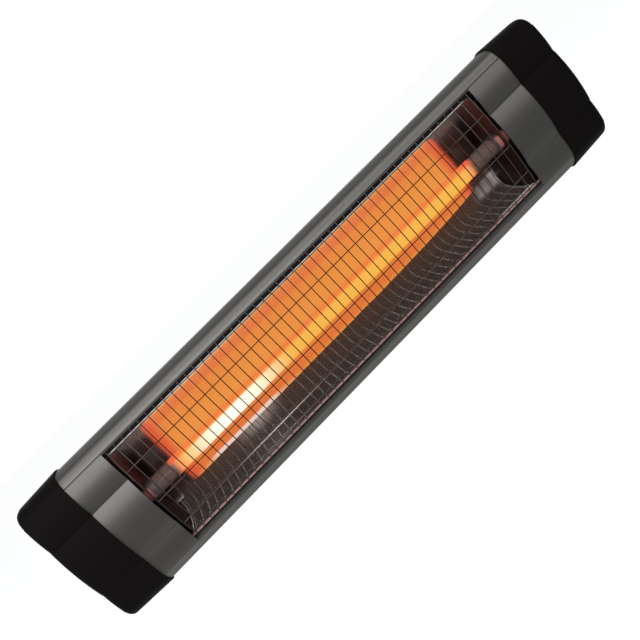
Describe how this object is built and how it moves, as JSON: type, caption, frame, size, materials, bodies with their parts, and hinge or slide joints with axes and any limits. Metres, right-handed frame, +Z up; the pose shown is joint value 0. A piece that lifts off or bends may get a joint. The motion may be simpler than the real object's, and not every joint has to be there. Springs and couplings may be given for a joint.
{
  "type": "electric bar heater",
  "caption": "Wall-mounted electric bar heater: long aluminium housing with black end caps, wire guard, polished reflector, quartz tube and tilting wall bracket.",
  "frame": {"origin": "middle of the back face of the wall bracket, on the wall", "axes": "+X along the heater, -Y out of the wall towards the room (the lit front), +Z up"},
  "size_m": [0.862, 0.1492, 0.1954],
  "materials": {
    "black_steel": "black powder coat",
    "zinc_steel": "bright zinc plate",
    "fibre": "pressed fibre",
    "black_plastic": "matt moulded plastic",
    "brass": "plain brass",
    "housing_finish": "anthracite anodised extrusion",
    "panel_finish": "anthracite anodised panel",
    "guard_wire": "chromed steel wire",
    "polished_sheet": "polished sheet",
    "shield_sheet": "mill finish sheet",
    "quartz": "clear quartz",
    "glowing_ribbon": "glowing carbon ribbon",
    "ceramic": "unglazed steatite ceramic",
    "nickel": "nickel",
    "phenolic": "dark phenolic",
    "lead_sleeve": "glass-fibre sleeve"
  },
  "bodies": {
    "wall_bracket": {"wall_yoke": "black_steel"},
    "heater": {"saddle": "black_steel", "pivot_bolts": "zinc_steel", "friction_washers": "fibre", "pivot_washers": "zinc_steel", "saddle_screws": "zinc_steel", "slot_nuts": "zinc_steel", "housing": "housing_finish", "front_panel_left": "panel_finish", "front_panel_right": "panel_finish", "end_cap_left": "black_plastic", "end_cap_right": "black_plastic", "cap_screws_left": "zinc_steel", "cap_screws_right": "zinc_steel", "wire_guard": "guard_wire", "reflector": "polished_sheet", "reflector_end_left": "polished_sheet", "reflector_end_right": "polished_sheet", "end_plate_rivets": "zinc_steel", "heat_shield": "shield_sheet", "quartz_tube": "quartz", "heating_spiral": "glowing_ribbon", "tube_end_left": "ceramic", "tube_end_right": "ceramic", "lead_pin_left": "nickel", "lead_pin_right": "nickel", "tube_bracket_left": "zinc_steel", "tube_bracket_right": "zinc_steel", "bracket_screws": "zinc_steel", "terminal_block": "ceramic", "terminal_screws": "brass", "thermal_cutout": "phenolic", "lead_left": "lead_sleeve", "lead_link": "lead_sleeve", "lead_right": "lead_sleeve", "earth_screw": "zinc_steel", "cable_gland": "black_plastic", "gland_locknut": "black_plastic"},
    "knob_left": {"knob_left": "black_plastic", "insert_left": "brass"},
    "knob_right": {"knob_right": "black_plastic", "insert_right": "brass"}
  },
  "joints": [
    {"name": "tilt", "type": "hinge", "parent": "wall_bracket", "child": "heater", "pos_m": [0, -0.038, 0], "axis": [1, 0, 0], "range_deg": [-15, 45]},
    {"name": "knob_left_turn", "type": "hinge", "parent": "heater", "child": "knob_left", "pos_m": [-0.0763, -0.038, 0], "axis": [-1, 0, 0], "range_deg": [-360, 0]},
    {"name": "knob_right_turn", "type": "hinge", "parent": "heater", "child": "knob_right", "pos_m": [0.0763, -0.038, 0], "axis": [1, 0, 0], "range_deg": [0, 360]}
  ]
}
